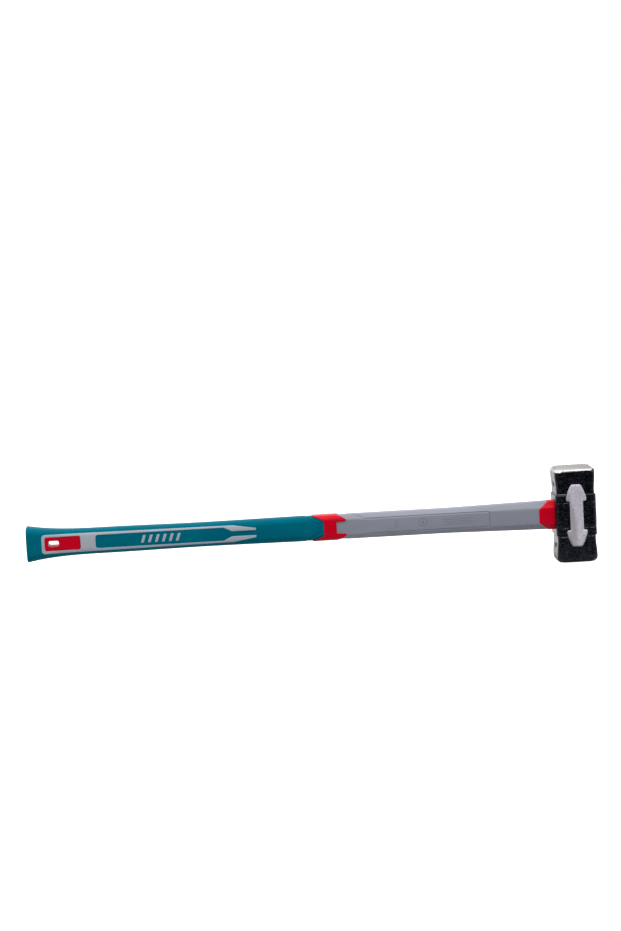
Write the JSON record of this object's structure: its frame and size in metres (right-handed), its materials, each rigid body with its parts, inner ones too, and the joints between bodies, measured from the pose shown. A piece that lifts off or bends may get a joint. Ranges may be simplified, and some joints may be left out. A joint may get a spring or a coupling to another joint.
{
  "type": "sledgehammer",
  "caption": "Long-handled double-faced sledgehammer: an eight-sided steel head bonded to a fibreglass core in a moulded handle with a soft grip and a hang slot.",
  "frame": {"origin": "centre of the lower striking face", "axes": "+Z along the striking axis, from the lower striking face to the upper one; the handle leaves the head along -X"},
  "size_m": [0.9025, 0.0686, 0.151],
  "materials": {
    "lacquered_steel": "gloss black lacquer over a forging, with bare ground steel on the striking faces",
    "silver_plate": "fine-grained silver-grey paint",
    "fibreglass": "sawn end of a drawn glass-fibre rod",
    "epoxy": "cast resin",
    "black_rubber": "matt",
    "red_plastic": "satin gloss",
    "grey_plastic": "fine satin moulding texture",
    "teal_rubber": "soft satin thermoplastic rubber"
  },
  "bodies": {
    "root": {"head": "lacquered_steel", "cheek_plate_front": "silver_plate", "cheek_plate_back": "silver_plate", "fibreglass_core": "fibreglass", "eye_epoxy": "epoxy", "neck_gasket": "black_rubber", "neck_collar": "red_plastic", "handle_jacket": "grey_plastic", "mid_collar": "red_plastic", "grip": "teal_rubber", "hang_insert": "red_plastic"}
  },
  "joints": []
}
